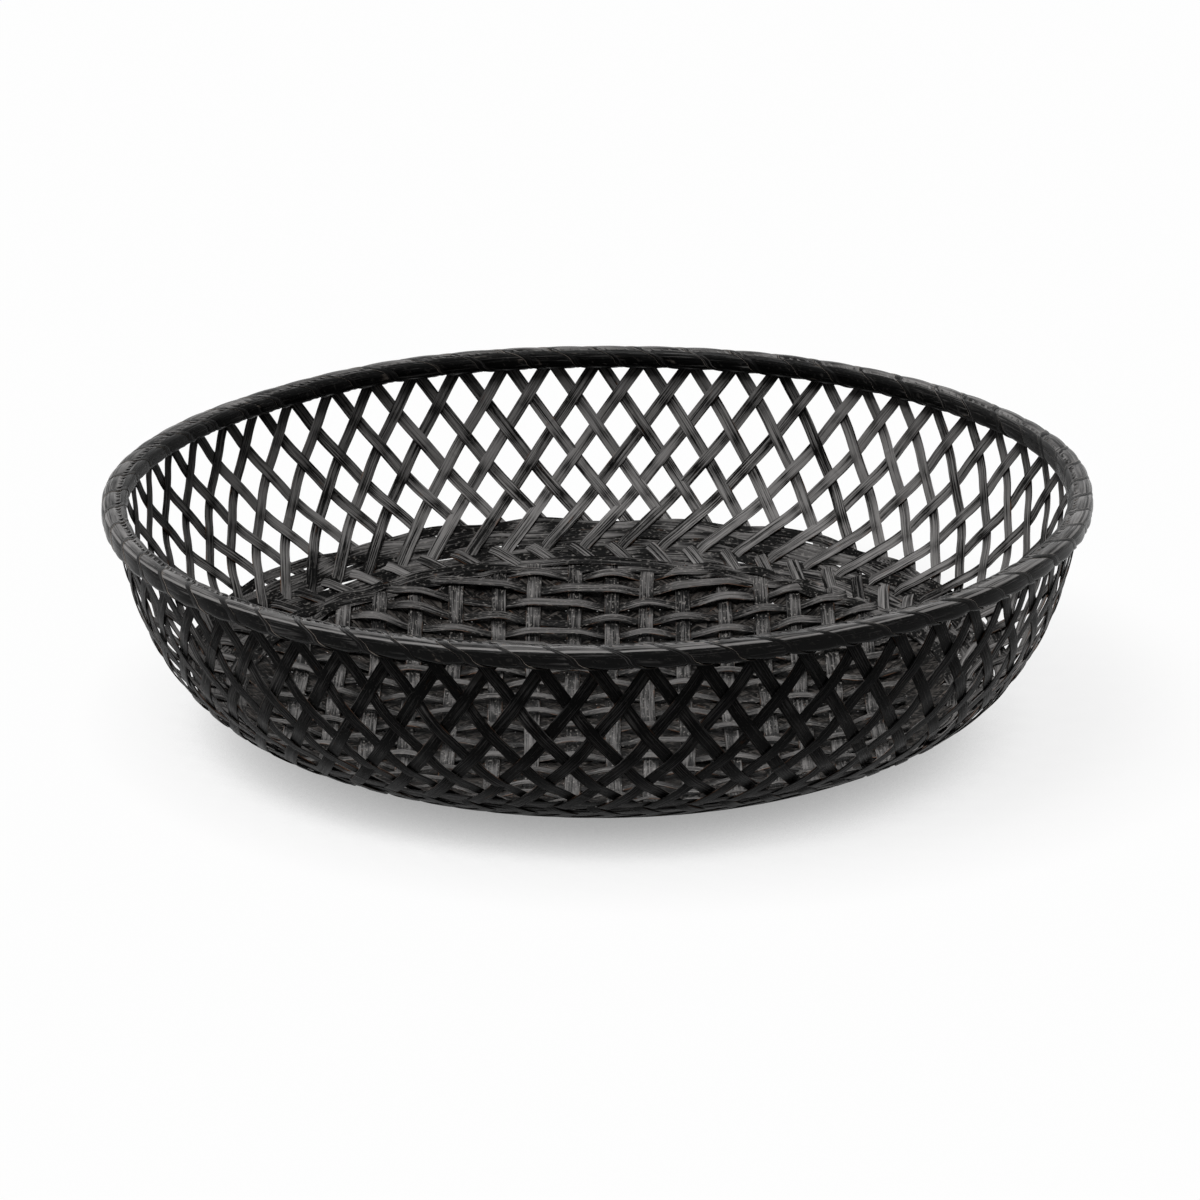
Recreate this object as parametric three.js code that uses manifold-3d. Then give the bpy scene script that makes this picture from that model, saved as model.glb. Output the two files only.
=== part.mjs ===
import * as THREE from "three";
import { mergeVertices } from "three/addons/utils/BufferGeometryUtils.js";
import Module from "manifold-3d";

// Round openwork bowl basket of split bamboo. Millimetres, +Z up, origin at the middle of the base.

const wasm = await Module();
wasm.setup();

// Bowl: the middle surface of the wall is one cubic curve turned about Z
const flatRadius = 90;
const shoulderRadius = 196;
const flareRadius = 212.2;
const flareHeight = 56;
const wallTopRadius = 219.9;
const overallHeight = 111.7;

// Wall strips
const stripsEachWay = 60;
const stripsPerBundle = 3;
const stripWidth = 6.5;
const stripThickness = 0.7;
const leanRadius = 120.3;
const firstCrossingDepth = 7;
const openRows = 5;
const tailBendDepth = 96;
const tailEndDepth = 114;

// Clearances between pieces that touch in the real basket
const clearance = 0.3;
const weaveReach = 0.95;
const boundReach = 0.3;
const tailSag = 0.2;

// Rim: two hoops with the strip ends between them, lashed over with one winding
const hoopThickness = 3;
const hoopHeight = 7.5;
const foldHeight = 10;
const lashingThickness = 0.6;
const lashingRunning = 0.65;
const lashingThroat = 10.5;
const lashingSeam = 0.8;
const driftInside = 0.5;
const driftTop = 0.25;

// Ring strips laid round between the wall strips above the base
const ringStripWidth = 5.2;
const ringStripThickness = 0.5;
const ringStripDepths = [89, 94.9];

// Base mat: cross strips arch over and dip under straight ones
const matRadius = 168;
const matStripWidth = 7;
const matStripThickness = 0.7;
const straightPitch = 18;
const straightCount = 16;
const crossPitch = 19.8;
const crossCrowding = 0.03;
const crossCount = 19;
const archRise = 1.75;
const dipDrop = 1.65;
const stripOverhang = 2;
const restRadius = 100;
const matLift = 2.9;
const liftMargin = 16;

const degree = Math.PI / 180;
const pitchAngle = (360 * degree) / stripsEachWay;
const hoopTop = overallHeight - lashingThickness - clearance;
const hoopBottom = hoopTop - hoopHeight;
const wallTop = hoopTop - clearance * 2;

// Materials
const stained = (color, roughness) =>
  new THREE.MeshStandardMaterial({ color, roughness, metalness: 0 });
const wallBamboo = stained(0x211f1e, 0.55);
const matBamboo = stained(0x2b2927, 0.62);
const hoopBamboo = stained(0x191817, 0.6);
const lashingBamboo = stained(0x1d1c1b, 0.48);

const basket = new THREE.Group();

function addPiece(name, geometry, material, turn = 0) {
  const mesh = new THREE.Mesh(geometry, material);
  mesh.name = name;
  mesh.rotation.z = turn;
  basket.add(mesh);
}

// The wall curve, sampled with its length and with the turn of a strip that lies along it.
// A strip follows a geodesic: radius times the cosine of its lean stays equal to leanRadius.
function sampleWall(count) {
  const curve = new THREE.CubicBezierCurve(
    new THREE.Vector2(wallTopRadius, wallTop),
    new THREE.Vector2(flareRadius, flareHeight),
    new THREE.Vector2(shoulderRadius, 0),
    new THREE.Vector2(flatRadius, 0),
  );
  const samples = [];
  let depth = 0;
  let turn = 0;
  let last = null;
  for (let i = 0; i <= count; i++) {
    const place = curve.getPoint(i / count);
    const tangent = curve.getTangent(i / count);
    if (last) {
      const step = place.distanceTo(last);
      const reach = Math.max(place.x ** 2 - leanRadius ** 2, 1);
      depth += step;
      turn += (step * leanRadius) / (place.x * Math.sqrt(reach));
    }
    samples.push({
      depth,
      turn,
      radius: place.x,
      height: place.y,
      out: -tangent.y,
      up: tangent.x,
    });
    last = place;
  }
  return samples;
}

const wallSamples = sampleWall(600);

// The wall at a value of one of its rising measures, depth below the top edge or turn.
function wallAt(measure, value) {
  const after = wallSamples.findIndex((sample) => sample[measure] >= value);
  const b = wallSamples[Math.max(after, 1)];
  const a = wallSamples[Math.max(after, 1) - 1];
  const share = (value - a[measure]) / (b[measure] - a[measure]);
  const mixed = {};
  for (const key of Object.keys(a)) {
    mixed[key] = a[key] + (b[key] - a[key]) * share;
  }
  return mixed;
}

const crossingStart = wallAt("depth", firstCrossingDepth).turn;
const rowTurn = (row) => crossingStart + (row * pitchAngle) / 2;

// Height of the wall surface over a radius, flat inside flatRadius
function wallHeight(radius) {
  if (radius <= flatRadius) return 0;
  const inner = wallSamples.findIndex((sample) => sample.radius <= radius);
  const a = wallSamples[inner - 1];
  const b = wallSamples[inner];
  const share = (a.radius - radius) / (a.radius - b.radius);
  return a.height + (b.height - a.height) * share;
}

// Closed strip of rectangular section through stations with a point, a face normal and a width
function stripGeometry(stations, thickness) {
  const corners = stations.map(({ point, normal, width }, i) => {
    const before = stations[Math.max(i - 1, 0)].point;
    const after = stations[Math.min(i + 1, stations.length - 1)].point;
    const along = after.clone().sub(before).normalize();
    const across = normal.clone().cross(along).normalize();
    const corner = (side, face) =>
      point
        .clone()
        .addScaledVector(across, (side * width) / 2)
        .addScaledVector(normal, (face * thickness) / 2);
    return [corner(1, 1), corner(-1, 1), corner(-1, -1), corner(1, -1)];
  });
  return skinSections(corners);
}

// Skin over a row of sections with four corners each, closed at both ends
function skinSections(sections) {
  const positions = sections.flat().flatMap((corner) => corner.toArray());
  const index = [];
  const quad = (a, b, c, d) => index.push(a, b, c, a, c, d);
  for (let i = 0; i + 1 < sections.length; i++) {
    const here = i * 4;
    const next = here + 4;
    for (let k = 0; k < 4; k++) {
      const n = (k + 1) % 4;
      quad(here + k, here + n, next + n, next + k);
    }
  }
  const end = (sections.length - 1) * 4;
  quad(3, 2, 1, 0);
  quad(end, end + 1, end + 2, end + 3);
  const geometry = new THREE.BufferGeometry();
  geometry.setAttribute("position", new THREE.Float32BufferAttribute(positions, 3));
  geometry.setIndex(index);
  return geometry;
}

function toSolid(geometry) {
  const bare = geometry.clone();
  bare.deleteAttribute("normal");
  bare.deleteAttribute("uv");
  const merged = mergeVertices(bare, 1e-4);
  return new wasm.Manifold(
    new wasm.Mesh({
      numProp: 3,
      vertProperties: merged.attributes.position.array,
      triVerts: new Uint32Array(merged.index.array),
    }),
  );
}

function toGeometry(solid) {
  const mesh = solid.getMesh();
  const geometry = new THREE.BufferGeometry();
  geometry.setAttribute("position", new THREE.BufferAttribute(mesh.vertProperties, 3));
  geometry.setIndex(new THREE.BufferAttribute(mesh.triVerts, 1));
  return geometry;
}

// Point of the wall surface, moved out along its normal
function wallStation(sample, angle, reach, width) {
  const normal = new THREE.Vector3(
    Math.cos(angle) * sample.out,
    Math.sin(angle) * sample.out,
    sample.up,
  ).normalize();
  const point = new THREE.Vector3(
    Math.cos(angle) * sample.radius,
    Math.sin(angle) * sample.radius,
    sample.height,
  ).addScaledVector(normal, reach);
  return { point, normal, width };
}

// A pair of wall strips that cross inside the rim, where they are held together. Hand is 1 on
// the one that rises clockwise, seen from above. Each changes sides at every row down to the last.
function wallPair(order) {
  const start = order * pitchAngle;
  const arm = (hand) => {
    const bound = (row) => {
      const partner = order + row * hand;
      return row === 1 && partner >= 0 && partner < stripsPerBundle;
    };
    const place = (sample, reach) =>
      wallStation(sample, start + hand * (sample.turn - crossingStart), reach, stripWidth);
    const stations = [];
    for (let row = 1; row <= openRows; row++) {
      const side = row % 2 === 1 ? -hand : hand;
      const reach = bound(row) ? boundReach : weaveReach;
      stations.push(place(wallAt("turn", rowTurn(row)), side * reach));
    }
    const tailReach = hand === 1 ? -weaveReach : weaveReach + tailSag;
    for (const depth of [tailBendDepth, tailEndDepth]) {
      stations.push(place(wallAt("depth", depth), tailReach));
    }
    return stations;
  };
  const fold = wallStation(wallAt("depth", foldHeight / 2), start, 0, foldHeight);
  return stripGeometry([...arm(1).reverse(), fold, ...arm(-1)], stripThickness);
}

// Wall: bundles of strips held together between the hoops and at the row below them
function addWall() {
  let bundle = toSolid(wallPair(0));
  for (let order = 1; order < stripsPerBundle; order++) {
    bundle = bundle.add(toSolid(wallPair(order)));
  }
  const geometry = toGeometry(bundle);
  const bundles = stripsEachWay / stripsPerBundle;
  for (let i = 0; i < bundles; i++) {
    const turn = i * stripsPerBundle * pitchAngle;
    addPiece(`wall_strips_${String(i + 1).padStart(2, "0")}`, geometry, wallBamboo, turn);
  }
}

// Ring with a rectangular section, one facet for each space between the strips
function ringGeometry(corners, firstCorner) {
  const profile = [...corners, corners[0]].map(([radius, height]) => new THREE.Vector2(radius, height));
  const ring = new THREE.LatheGeometry(profile, stripsEachWay, firstCorner + Math.PI / 2);
  return ring.rotateX(Math.PI / 2);
}

// Radii of the rim, outwards from the strip ends
const faceted = Math.cos(pitchAngle / 2);
const foldGap = stripThickness / 2 + clearance;
const hoopMiddle = wallAt("depth", hoopHeight).radius;
const innerHoopOuter = hoopMiddle - foldGap - clearance / 2;
const innerHoopInner = innerHoopOuter - hoopThickness;
const outerHoopInner = (wallTopRadius + foldGap) / faceted;
const outerHoopOuter = outerHoopInner + hoopThickness;

function addHoops() {
  const hoop = (inner, outer) =>
    ringGeometry(
      [
        [inner, hoopBottom],
        [outer, hoopBottom],
        [outer, hoopTop],
        [inner, hoopTop],
      ],
      pitchAngle / 2,
    );
  addPiece("rim_inner_hoop", hoop(innerHoopInner, innerHoopOuter), hoopBamboo);
  addPiece("rim_outer_hoop", hoop(outerHoopInner, outerHoopOuter), hoopBamboo);
}

// Lashing: one flat winding, a turn for each gap of the lattice. It is broad over the hoops and
// gathered to the width of the gap where it passes below them.
function addLashing() {
  const inside = innerHoopInner - lashingRunning;
  const outside = outerHoopOuter + lashingRunning;
  const below = hoopBottom - clearance;
  const above = hoopTop + clearance;
  const broad = pitchAngle - lashingSeam / outside;
  const throat = lashingThroat / hoopMiddle;
  const corners = [
    { radius: outside, height: below, out: 1, up: -1, drift: 0, width: throat },
    { radius: inside, height: below, out: -1, up: -1, drift: 0, width: throat },
    { radius: inside, height: above, out: -1, up: 1, drift: driftInside, width: broad },
    { radius: outside, height: above, out: 1, up: 1, drift: driftInside + driftTop, width: broad },
  ];
  const sections = [];
  for (let i = 0; i < stripsEachWay * corners.length; i++) {
    const corner = corners[i % corners.length];
    const turn = Math.floor(i / corners.length);
    const middle = (turn + 0.5 + corner.drift) * pitchAngle;
    const at = (side, skin) => {
      const angle = middle + (side * corner.width) / 2;
      const radius = corner.radius + corner.out * skin;
      const height = corner.height + corner.up * skin;
      return new THREE.Vector3(Math.cos(angle) * radius, Math.sin(angle) * radius, height);
    };
    sections.push([
      at(1, lashingThickness),
      at(-1, lashingThickness),
      at(-1, 0),
      at(1, 0),
    ]);
  }
  addPiece("rim_lashing", skinSections(sections), lashingBamboo);
}

// Ring strips: their corners stand at the inner wall strips, their flats at the outer ones
function addRingStrips() {
  ringStripDepths.forEach((depth, i) => {
    const low = wallAt("depth", depth + ringStripWidth / 2);
    const high = wallAt("depth", depth - ringStripWidth / 2);
    const face = (sample, side) => [
      sample.radius + (side * sample.out * ringStripThickness) / 2,
      sample.height + (side * sample.up * ringStripThickness) / 2,
    ];
    const firstCorner = wallAt("depth", depth).turn - crossingStart;
    const ring = ringGeometry([face(low, -1), face(low, 1), face(high, 1), face(high, -1)], firstCorner);
    addPiece(`ring_strip_${i + 1}`, ring, wallBamboo);
  });
}

const matStep = matStripThickness + clearance;
const matLiftRadius = wallAt("depth", tailEndDepth).radius - liftMargin;

// Offsets of the mat strips from the middle: straight ones even, cross ones closer near the edge
const centred = (i, count) => i - (count - 1) / 2;
const straightOffsets = Array.from({ length: straightCount }, (_, i) => {
  return centred(i, straightCount) * straightPitch;
});
const crossOffsets = Array.from({ length: crossCount }, (_, i) => {
  const row = centred(i, crossCount);
  return row * (crossPitch - crossCrowding * row ** 2);
});

// Point of the mat's middle surface, moved up along its normal
function matStation(x, y, reach) {
  const middle = (radius) => {
    const rise = THREE.MathUtils.smoothstep(radius, flatRadius - crossPitch, matLiftRadius) * matLift;
    return wallHeight(radius) + matStep + matStripThickness / 2 + rise;
  };
  const radius = Math.max(Math.hypot(x, y), 1e-6);
  const slope = middle(radius + 0.5) - middle(radius - 0.5);
  const normal = new THREE.Vector3((-slope * x) / radius, (-slope * y) / radius, 1).normalize();
  const point = new THREE.Vector3(x, y, middle(radius)).addScaledVector(normal, reach);
  return { point, normal, width: matStripWidth };
}

// Those of the offsets that cross a strip at an offset, and how far it runs to each side
function matCrossings(offset, offsets) {
  const reach = Math.sqrt(matRadius ** 2 - offset ** 2);
  const places = offsets.filter((place) => Math.abs(place) <= reach);
  const last = places[places.length - 1];
  const next = offsets[offsets.indexOf(last) + 1] ?? Infinity;
  const least = last + matStripWidth / 2 + stripOverhang;
  const most = next - matStripWidth / 2 - clearance;
  return { places, last, end: Math.max(least, Math.min(reach, most)) };
}

function straightStrip(x) {
  const { places, end } = matCrossings(x, crossOffsets);
  const bends = places.filter((y) => Math.hypot(x, y) > flatRadius - crossPitch);
  const stations = [-end, ...bends, end].map((y) => matStation(x, y, 0));
  return stripGeometry(stations, matStripThickness);
}

function crossStrip(y, row) {
  const { places, last, end } = matCrossings(y, straightOffsets);
  const rest = matStripWidth / 2 + clearance;
  const isUnder = (x) => (row + straightOffsets.indexOf(x)) % 2 === 0;
  const stations = [];
  for (const x of places) {
    if (isUnder(x) && Math.hypot(x, y) < restRadius) {
      stations.push(matStation(x - rest, y, -matStep), matStation(x + rest, y, -matStep));
    } else {
      stations.push(matStation(x, y, isUnder(x) ? -dipDrop : archRise));
    }
  }
  const left = Math.max(0, 1 - (2 * (end - last)) / straightPitch);
  const endReach = (x) => left * (isUnder(x) ? -dipDrop : archRise);
  stations.unshift(matStation(-end, y, endReach(places[0])));
  stations.push(matStation(end, y, endReach(last)));
  return stripGeometry(stations, matStripThickness);
}

function addMat() {
  const numbered = (name, index) => `${name}_${String(index + 1).padStart(2, "0")}`;
  straightOffsets.forEach((x, i) => {
    addPiece(numbered("base_straight_strip", i), straightStrip(x), matBamboo);
  });
  crossOffsets.forEach((y, i) => {
    addPiece(numbered("base_cross_strip", i), crossStrip(y, i), matBamboo);
  });
}

addWall();
addHoops();
addLashing();
addRingStrips();
addMat();

export default basket;
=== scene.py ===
import math
import random

import bpy
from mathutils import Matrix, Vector, noise


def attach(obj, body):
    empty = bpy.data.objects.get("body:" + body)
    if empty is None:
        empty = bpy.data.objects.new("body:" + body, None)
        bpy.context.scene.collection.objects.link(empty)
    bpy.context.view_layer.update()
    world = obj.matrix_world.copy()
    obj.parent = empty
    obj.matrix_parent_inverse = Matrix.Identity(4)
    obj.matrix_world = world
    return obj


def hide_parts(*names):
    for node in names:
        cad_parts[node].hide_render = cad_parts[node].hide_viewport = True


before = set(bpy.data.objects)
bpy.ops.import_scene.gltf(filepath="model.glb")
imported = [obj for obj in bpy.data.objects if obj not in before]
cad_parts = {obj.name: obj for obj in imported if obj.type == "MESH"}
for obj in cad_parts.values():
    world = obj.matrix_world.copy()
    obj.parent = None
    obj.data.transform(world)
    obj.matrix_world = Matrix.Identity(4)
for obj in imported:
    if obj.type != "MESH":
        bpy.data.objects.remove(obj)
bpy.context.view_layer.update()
cadNodes = list(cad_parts)
mm = 0.001


def hexColour(text):
    # sRGB hex to linear RGBA
    channels = [int(text[i:i + 2], 16) / 255 for i in (1, 3, 5)]
    return [c / 12.92 if c <= 0.04045 else ((c + 0.055) / 1.055) ** 2.4 for c in channels] + [1]


def addNode(tree, kind, inputs=(), **settings):
    # one node with its settings; an input is a value, a socket, or a node for its first output
    node = tree.nodes.new(kind)
    for name, value in settings.items():
        setattr(node, name, value)
    pairs = inputs.items() if isinstance(inputs, dict) else enumerate(inputs)
    for key, value in pairs:
        if isinstance(value, bpy.types.Node):
            value = value.outputs[0]
        if isinstance(value, bpy.types.NodeSocket):
            tree.links.new(value, node.inputs[key])
        elif value is not None:
            node.inputs[key].default_value = value
    return node


def smoothStep(value, low, high):
    t = min(max((value - low) / (high - low), 0), 1)
    return t * t * (3 - 2 * t)


def mixed(a, b, share):
    return a + (b - a) * share


# lengths are in mm here and in the dictionaries below, where nothing else is said
bowl = {
    "profile": [(219.9, 110.2), (212.2, 56), (196, 0), (90, 0)],    # control points, radius and height
    "flatRadius": 90,
    "stripsEachWay": 60,
    "leanRadius": 120.3,     # where the wall strips' lines would run level round the bowl
    "firstCrossing": 7,      # depth below the top edge
}
pitchAngle = 2 * math.pi / bowl["stripsEachWay"]


def sampleBowl(count=1200):
    # depth along the wall, turn of a strip there, radius, height and the outward normal's two parts
    a, b, c, d = (Vector(p) for p in bowl["profile"])
    samples = []
    depth = turn = 0
    last = None
    for i in range(count + 1):
        t = i / count
        s = 1 - t
        place = a * s ** 3 + b * 3 * s * s * t + c * 3 * s * t * t + d * t ** 3
        tangent = ((b - a) * s * s + (c - b) * 2 * s * t + (d - c) * t * t).normalized()
        if last is not None:
            step = (place - last).length
            reach = max(place.x ** 2 - bowl["leanRadius"] ** 2, 1)
            depth += step
            turn += step * bowl["leanRadius"] / (place.x * math.sqrt(reach))
        samples.append((depth, turn, place.x, place.y, -tangent.y, tangent.x))
        last = place
    return samples


bowlSamples = sampleBowl()


def bowlAt(measure, value):
    # the bowl's sample at a depth (0), a turn (1) or a radius (2)
    low, high = 0, len(bowlSamples) - 1
    way = 1 if bowlSamples[high][measure] > bowlSamples[low][measure] else -1
    while high - low > 1:
        middle = (low + high) // 2
        if way * bowlSamples[middle][measure] < way * value:
            low = middle
        else:
            high = middle
    a, b = bowlSamples[low], bowlSamples[high]
    share = (value - a[measure]) / (b[measure] - a[measure])
    return [mixed(x, y, share) for x, y in zip(a, b)]


def bowlHeight(radius):
    if radius <= bowl["flatRadius"]:
        return 0
    return bowlAt(2, radius)[3]


def onBowl(sample, angle, reach):
    # point and normal of the bowl surface, moved out along the normal; mm
    normal = Vector((math.cos(angle) * sample[4], math.sin(angle) * sample[4], sample[5])).normalized()
    point = Vector((math.cos(angle) * sample[2], math.sin(angle) * sample[2], sample[3]))
    return point + normal * reach, normal


crossingStart = bowlAt(0, bowl["firstCrossing"])[1]

# the pattern that every strip shares; lengths in mm, shares of the noise's range
pattern = {
    "fibreStretch": 45,      # length of a fibre over its width
    "bandStretch": 30,
    "fleckStretch": 2.6,
    "patch": (3, 14),        # width and length
    "wearPatch": (2.6, 13),
    "fleckRange": (0.58, 0.7),
    "nodeHalf": 1.6,
    "nodeSlip": 3.7,         # how far the tone of a strip moves its nodes
    "nodeWear": 0.08,
    "edgeFrom": 0.86,        # 1 is the very edge
    "wearBlend": 0.16,
    "bandRange": (0.3, 0.7),
    "smoother": 0.07,
    "rougher": 0.09,
    "bandHeight": 0.6,
    "nodeHeight": 0.8,
    "ior": 1.45,
}


def bambooMaterial(name, finish):
    # split bamboo dyed near black: matt satin, fine fibres along the strip, paler rubbed edges
    material = bpy.data.materials.new(name)
    material.use_nodes = True
    tree = material.node_tree
    tree.nodes.clear()
    grain = addNode(tree, "ShaderNodeAttribute", attribute_name="grain")
    parts = addNode(tree, "ShaderNodeSeparateXYZ", [grain.outputs["Vector"]])
    across, along, tone = parts.outputs
    halfWidth = finish["width"] / 2

    def grainNoise(acrossSize, alongSize, shift, detail):
        # noise with one cell per size in mm across and along the strip; shift tells the patterns apart
        x = addNode(tree, "ShaderNodeMath", [across, halfWidth / acrossSize], operation="MULTIPLY")
        y = addNode(tree, "ShaderNodeMath", [along, 1000 / alongSize], operation="MULTIPLY")
        z = addNode(tree, "ShaderNodeMath", [tone, shift], operation="MULTIPLY")
        at = addNode(tree, "ShaderNodeCombineXYZ", [x, y, z])
        return addNode(tree, "ShaderNodeTexNoise", {"Vector": at, "Scale": 1.0, "Detail": detail})

    fibres = grainNoise(finish["fibre"], finish["fibre"] * pattern["fibreStretch"], 91, 3)
    bands = grainNoise(finish["band"], finish["band"] * pattern["bandStretch"], 57, 2)
    patches = grainNoise(*pattern["patch"], 33, 3)

    # tone of the whole strip, then bands and fibres on it
    level = addNode(tree, "ShaderNodeMath", [tone, finish["toneShare"]], operation="MULTIPLY")
    level = addNode(tree, "ShaderNodeMath", [bands, finish["bandShare"], level], operation="MULTIPLY_ADD")
    level = addNode(tree, "ShaderNodeMath", [fibres, finish["fibreShare"], level], operation="MULTIPLY_ADD")
    level = addNode(tree, "ShaderNodeMath", [patches, finish["patchShare"], level], operation="MULTIPLY_ADD")
    # painted shade: darker where a strip dives under its neighbour
    paintedShade = addNode(tree, "ShaderNodeAttribute", attribute_name="paintedShade").outputs["Fac"]
    level = addNode(tree, "ShaderNodeMath", [paintedShade, -finish["paintedShade"], level], operation="MULTIPLY_ADD")
    # darker on the skin side: partly the cane's own darker dye, partly painted shade on the outward faces
    side = addNode(tree, "ShaderNodeAttribute", attribute_name="side").outputs["Fac"]
    level = addNode(tree, "ShaderNodeMath", [side, -finish["skin"], level], operation="MULTIPLY_ADD")
    for place, half, amount in finish.get("paintedLightBands", []):
        # painted light: a band along the piece made lighter, for the light on the rim's top and a highlight
        # along its outer top edge
        paintedBand = addNode(tree, "ShaderNodeMath", [across, place], operation="SUBTRACT")
        paintedBand = addNode(tree, "ShaderNodeMath", [paintedBand], operation="ABSOLUTE")
        paintedBand = addNode(tree, "ShaderNodeMapRange", {
            "Value": paintedBand, "From Min": 0.0, "From Max": half, "To Min": amount, "To Max": 0.0,
        }, interpolation_type="SMOOTHSTEP")
        level = addNode(tree, "ShaderNodeMath", [level, paintedBand], operation="ADD")
    level = addNode(tree, "ShaderNodeMapRange", {
        "Value": level, "From Min": finish["levelLow"], "From Max": finish["levelHigh"],
    })
    ramp = addNode(tree, "ShaderNodeValToRGB", [level])
    ramp.color_ramp.elements[0].color = hexColour(finish["dark"])
    ramp.color_ramp.elements[1].color = hexColour(finish["light"])

    # small pale flecks where the dye has gone
    flecks = grainNoise(finish["fleckSize"], finish["fleckSize"] * pattern["fleckStretch"], 17, 2)
    flecks = addNode(tree, "ShaderNodeMapRange", {
        "Value": flecks, "From Min": pattern["fleckRange"][0], "From Max": pattern["fleckRange"][1],
        "To Min": 0.0, "To Max": finish["fleck"],
    })
    # inputs 6 and 7 of a colour mix are its two colours
    flecked = addNode(tree, "ShaderNodeMix", data_type="RGBA", blend_type="MIX")
    tree.links.new(flecks.outputs[0], flecked.inputs[0])
    tree.links.new(ramp.outputs[0], flecked.inputs[6])
    flecked.inputs[7].default_value = hexColour(finish["pale"])

    # nodes of the cane: a narrow ridge every so often along a strip
    spacing = finish["nodeSpacing"]
    spot = addNode(tree, "ShaderNodeMath", [tone, pattern["nodeSlip"]], operation="MULTIPLY")
    spot = addNode(tree, "ShaderNodeMath", [along, 1000 / spacing, spot], operation="MULTIPLY_ADD")
    spot = addNode(tree, "ShaderNodeMath", [spot], operation="FRACT")
    spot = addNode(tree, "ShaderNodeMath", [spot, 0.5], operation="SUBTRACT")
    spot = addNode(tree, "ShaderNodeMath", [spot], operation="ABSOLUTE")
    ridge = addNode(tree, "ShaderNodeMapRange", {
        "Value": spot, "From Min": 0.0, "From Max": pattern["nodeHalf"] / spacing,
        "To Min": 1.0, "To Max": 0.0,
    }, interpolation_type="SMOOTHSTEP")

    # rubbed places: edges first, then the odd patch, down to brown cane
    edge = addNode(tree, "ShaderNodeMath", [across], operation="ABSOLUTE")
    edge = addNode(tree, "ShaderNodeMapRange", {
        "Value": edge, "From Min": pattern["edgeFrom"], "From Max": 1.0,
        "To Min": 0.0, "To Max": finish["edge"],
    }, interpolation_type="SMOOTHSTEP")
    wearNoise = grainNoise(*pattern["wearPatch"], 71, 4)
    worn = addNode(tree, "ShaderNodeMath", [wearNoise, edge], operation="ADD")
    worn = addNode(tree, "ShaderNodeMath", [ridge, pattern["nodeWear"], worn], operation="MULTIPLY_ADD")
    worn = addNode(tree, "ShaderNodeMapRange", {
        "Value": worn, "From Min": finish["wearFrom"], "From Max": finish["wearFrom"] + pattern["wearBlend"],
        "To Min": 0.0, "To Max": finish["wear"],
    }, interpolation_type="SMOOTHSTEP")
    colour = addNode(tree, "ShaderNodeMix", data_type="RGBA", blend_type="MIX")
    tree.links.new(worn.outputs[0], colour.inputs[0])
    tree.links.new(flecked.outputs[2], colour.inputs[6])
    colour.inputs[7].default_value = hexColour(finish["bare"])

    rough = addNode(tree, "ShaderNodeMapRange", {
        "Value": bands, "From Min": pattern["bandRange"][0], "From Max": pattern["bandRange"][1],
        "To Min": finish["roughness"] - pattern["smoother"],
        "To Max": finish["roughness"] + pattern["rougher"],
    })
    height = addNode(tree, "ShaderNodeMath", [bands, pattern["bandHeight"], fibres], operation="MULTIPLY_ADD")
    height = addNode(tree, "ShaderNodeMath", [ridge, pattern["nodeHeight"], height], operation="MULTIPLY_ADD")
    bump = addNode(tree, "ShaderNodeBump", {
        "Strength": finish["bump"], "Distance": finish["bumpDepth"] * mm, "Height": height,
    })
    shader = addNode(tree, "ShaderNodeBsdfPrincipled", {
        "Base Color": colour.outputs[2], "Roughness": rough, "Normal": bump,
        "IOR": pattern["ior"], "Specular IOR Level": finish["gloss"],
    })
    addNode(tree, "ShaderNodeOutputMaterial", [shader])
    return material


# fibres are about 0.2 mm apart on the real cane; here they are as coarse as the picture can show
stain = {
    "width": 6.5, "fibre": 0.65, "band": 2.2, "nodeSpacing": 230,    # mm
    "toneShare": 0.28, "bandShare": 0.5, "fibreShare": 2.2, "patchShare": 0.5,
    # strength of the painted shade where strips dive under one another, and of the darker skin side, partly
    # dye and partly painted shade
    "paintedShade": 0.28, "skin": 0.17,
    "levelLow": 1.5, "levelHigh": 2.12,      # sums of the shares that show the dark and the light dye
    "dark": "#0b0b0b", "light": "#858382",
    "fleck": 0.15, "fleckSize": 0.9, "pale": "#a09c98",
    "bare": "#80604c", "wear": 0.5, "wearFrom": 0.67, "edge": 0.17,
    "roughness": 0.4, "gloss": 0.03, "bump": 0.8, "bumpDepth": 0.25,
}
# the open lattice: skin side nearly black, pith side greyer, partly from the dye and partly painted shade on
# the outward faces, with fibres that catch the light
wallFinish = bambooMaterial("dyedSplitBambooWall", stain)
# the base: flatter light, so deeper shade at the crossings and more flecks from use
matFinish = bambooMaterial("dyedSplitBambooBase", {
    **stain, "width": 7, "dark": "#0c0c0c", "light": "#747271", "paintedShade": 0.4,
    "levelLow": 1.39, "skin": 0.0, "fleck": 0.5, "roughness": 0.38, "gloss": 0.06,
})
# thin strips, with painted shade wherever a wall strip covers them
ringFinish = bambooMaterial("dyedSplitBambooRings", {
    **stain, "width": 5, "light": "#767473", "skin": 0.0, "paintedShade": 0.6,
    "levelLow": 1.4, "levelHigh": 2.15, "edge": 0.1, "fleck": 0.35,
})
# hidden layers: painted shade, a dull darker copy of the wall strips' colours that never reaches a light tone
underFinish = bambooMaterial("dyedSplitBambooUnder", {**stain, "light": "#4c4845"})
# thick split hoops, deep in the winding's shade, so almost black
hoopFinish = bambooMaterial("dyedBambooHoop", {**stain, "width": 8, "dark": "#0a0a0a", "light": "#201f1f"})
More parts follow.
